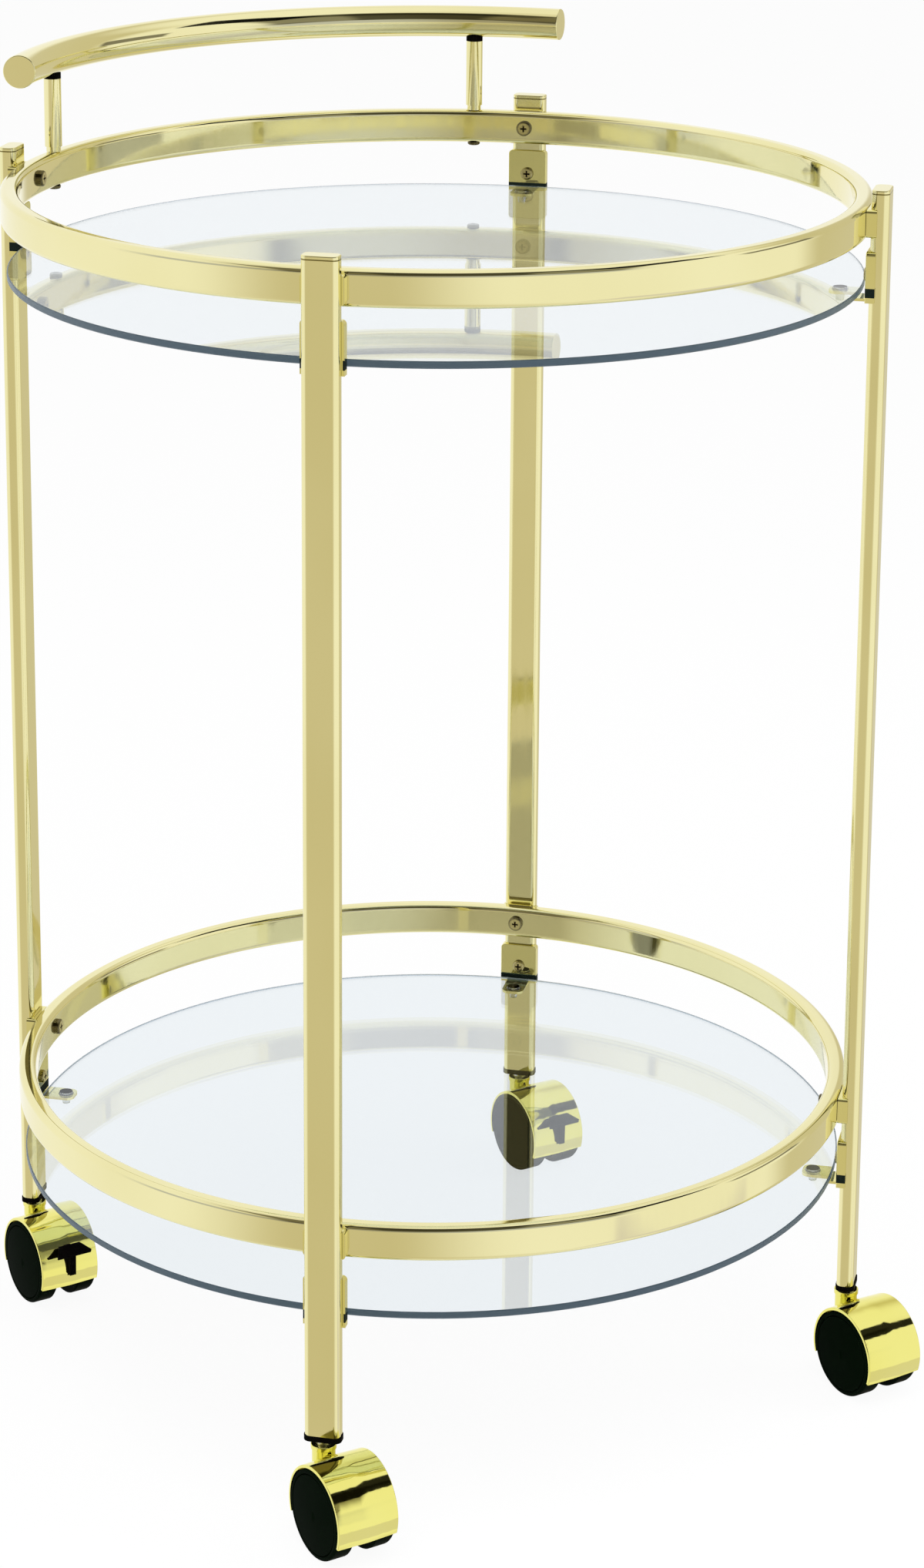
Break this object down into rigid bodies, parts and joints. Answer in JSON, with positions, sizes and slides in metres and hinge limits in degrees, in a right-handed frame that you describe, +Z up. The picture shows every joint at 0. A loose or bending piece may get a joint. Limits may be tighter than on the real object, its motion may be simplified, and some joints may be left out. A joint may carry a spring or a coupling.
{
  "type": "round bar cart",
  "caption": "Round two-tier serving cart with glass shelves inside gallery rails on straight tube legs, a curved push handle and hooded swivel casters.",
  "frame": {"origin": "on the floor under the cart's axis, at the centre of the leg circle", "axes": "+Z up, +Y towards the handle, +X to the right of someone who stands in front and faces the handle"},
  "size_m": [0.486, 0.4905, 0.7638],
  "materials": {
    "plated_gold": "polished pale gold plate on steel tube",
    "clip_gold": "polished pale gold plate on formed sheet",
    "cap_gold": "polished pale gold plated caps",
    "hood_gold": "polished yellow gold plate on cast hoods",
    "screw_gold": "bright plated screw heads",
    "clear_glass": "clear toughened glass with polished edge",
    "clear_bumper": "clear soft plastic",
    "edge_pad": "dark soft pad",
    "black_plastic": "matte black moulded plastic",
    "brake_black": "satin black moulded plastic",
    "wheel_black": "black nylon with a slight sheen",
    "bright_steel": "bright zinc-plated steel"
  },
  "bodies": {
    "frame": {"clip_edge_pads": "edge_pad", "clip_screws": "screw_gold", "front_left_caster_stem": "bright_steel", "front_left_foot_plug": "black_plastic", "front_left_leg": "plated_gold", "front_left_leg_cap": "cap_gold", "front_right_caster_stem": "bright_steel", "front_right_foot_plug": "black_plastic", "front_right_leg": "plated_gold", "front_right_leg_cap": "cap_gold", "glass_bumpers": "clear_bumper", "handle_end_cap_left": "cap_gold", "handle_end_cap_right": "cap_gold", "handle_post_left": "plated_gold", "handle_post_right": "plated_gold", "handle_tube": "plated_gold", "handle_washers": "black_plastic", "lower_front_left_shelf_clip": "clip_gold", "lower_front_right_shelf_clip": "clip_gold", "lower_glass_shelf": "clear_glass", "lower_rail": "plated_gold", "lower_rear_left_shelf_clip": "clip_gold", "lower_rear_right_shelf_clip": "clip_gold", "post_screws": "screw_gold", "rail_saddles": "clip_gold", "rail_screws": "screw_gold", "rear_left_caster_stem": "bright_steel", "rear_left_foot_plug": "black_plastic", "rear_left_leg": "plated_gold", "rear_left_leg_cap": "cap_gold", "rear_right_caster_stem": "bright_steel", "rear_right_foot_plug": "black_plastic", "rear_right_leg": "plated_gold", "rear_right_leg_cap": "cap_gold", "upper_front_left_shelf_clip": "clip_gold", "upper_front_right_shelf_clip": "clip_gold", "upper_glass_shelf": "clear_glass", "upper_rail": "plated_gold", "upper_rear_left_shelf_clip": "clip_gold", "upper_rear_right_shelf_clip": "clip_gold"},
    "rear_right_caster": {"rear_right_caster_hood": "hood_gold", "rear_right_caster_axle": "bright_steel", "rear_right_brake_pin": "bright_steel"},
    "rear_right_left_wheel": {"rear_right_caster_wheel_left": "wheel_black"},
    "rear_right_right_wheel": {"rear_right_caster_wheel_right": "wheel_black"},
    "rear_right_brake": {"rear_right_brake_lever": "brake_black"},
    "rear_left_caster": {"rear_left_caster_hood": "hood_gold", "rear_left_caster_axle": "bright_steel", "rear_left_brake_pin": "bright_steel"},
    "rear_left_left_wheel": {"rear_left_caster_wheel_left": "wheel_black"},
    "rear_left_right_wheel": {"rear_left_caster_wheel_right": "wheel_black"},
    "rear_left_brake": {"rear_left_brake_lever": "brake_black"},
    "front_left_caster": {"front_left_caster_hood": "hood_gold", "front_left_caster_axle": "bright_steel"},
    "front_left_left_wheel": {"front_left_caster_wheel_left": "wheel_black"},
    "front_left_right_wheel": {"front_left_caster_wheel_right": "wheel_black"},
    "front_right_caster": {"front_right_caster_hood": "hood_gold", "front_right_caster_axle": "bright_steel"},
    "front_right_left_wheel": {"front_right_caster_wheel_left": "wheel_black"},
    "front_right_right_wheel": {"front_right_caster_wheel_right": "wheel_black"}
  },
  "joints": [
    {"name": "rear_right_swivel", "type": "hinge", "parent": "frame", "child": "rear_right_caster", "pos_m": [0.17678, 0.17678, 0.05], "axis": [0, 0, 1], "continuous": true},
    {"name": "rear_right_left_roll", "type": "hinge", "parent": "rear_right_caster", "child": "rear_right_left_wheel", "pos_m": [0.17678, 0.15578, 0.025], "axis": [1, 0, 0], "continuous": true},
    {"name": "rear_right_right_roll", "type": "hinge", "parent": "rear_right_caster", "child": "rear_right_right_wheel", "pos_m": [0.17678, 0.15578, 0.025], "axis": [1, 0, 0], "continuous": true},
    {"name": "rear_right_brake_lift", "type": "hinge", "parent": "rear_right_caster", "child": "rear_right_brake", "pos_m": [0.17678, 0.14958, 0.0264], "axis": [-1, 0, 0], "range_deg": [0, 12]},
    {"name": "rear_left_swivel", "type": "hinge", "parent": "frame", "child": "rear_left_caster", "pos_m": [-0.17678, 0.17678, 0.05], "axis": [0, 0, 1], "continuous": true},
    {"name": "rear_left_left_roll", "type": "hinge", "parent": "rear_left_caster", "child": "rear_left_left_wheel", "pos_m": [-0.17678, 0.15578, 0.025], "axis": [1, 0, 0], "continuous": true},
    {"name": "rear_left_right_roll", "type": "hinge", "parent": "rear_left_caster", "child": "rear_left_right_wheel", "pos_m": [-0.17678, 0.15578, 0.025], "axis": [1, 0, 0], "continuous": true},
    {"name": "rear_left_brake_lift", "type": "hinge", "parent": "rear_left_caster", "child": "rear_left_brake", "pos_m": [-0.17678, 0.14958, 0.0264], "axis": [-1, 0, 0], "range_deg": [0, 12]},
    {"name": "front_left_swivel", "type": "hinge", "parent": "frame", "child": "front_left_caster", "pos_m": [-0.17678, -0.17678, 0.05], "axis": [0, 0, 1], "continuous": true},
    {"name": "front_left_left_roll", "type": "hinge", "parent": "front_left_caster", "child": "front_left_left_wheel", "pos_m": [-0.17678, -0.19778, 0.025], "axis": [1, 0, 0], "continuous": true},
    {"name": "front_left_right_roll", "type": "hinge", "parent": "front_left_caster", "child": "front_left_right_wheel", "pos_m": [-0.17678, -0.19778, 0.025], "axis": [1, 0, 0], "continuous": true},
    {"name": "front_right_swivel", "type": "hinge", "parent": "frame", "child": "front_right_caster", "pos_m": [0.17678, -0.17678, 0.05], "axis": [0, 0, 1], "continuous": true},
    {"name": "front_right_left_roll", "type": "hinge", "parent": "front_right_caster", "child": "front_right_left_wheel", "pos_m": [0.17678, -0.19778, 0.025], "axis": [1, 0, 0], "continuous": true},
    {"name": "front_right_right_roll", "type": "hinge", "parent": "front_right_caster", "child": "front_right_right_wheel", "pos_m": [0.17678, -0.19778, 0.025], "axis": [1, 0, 0], "continuous": true}
  ]
}
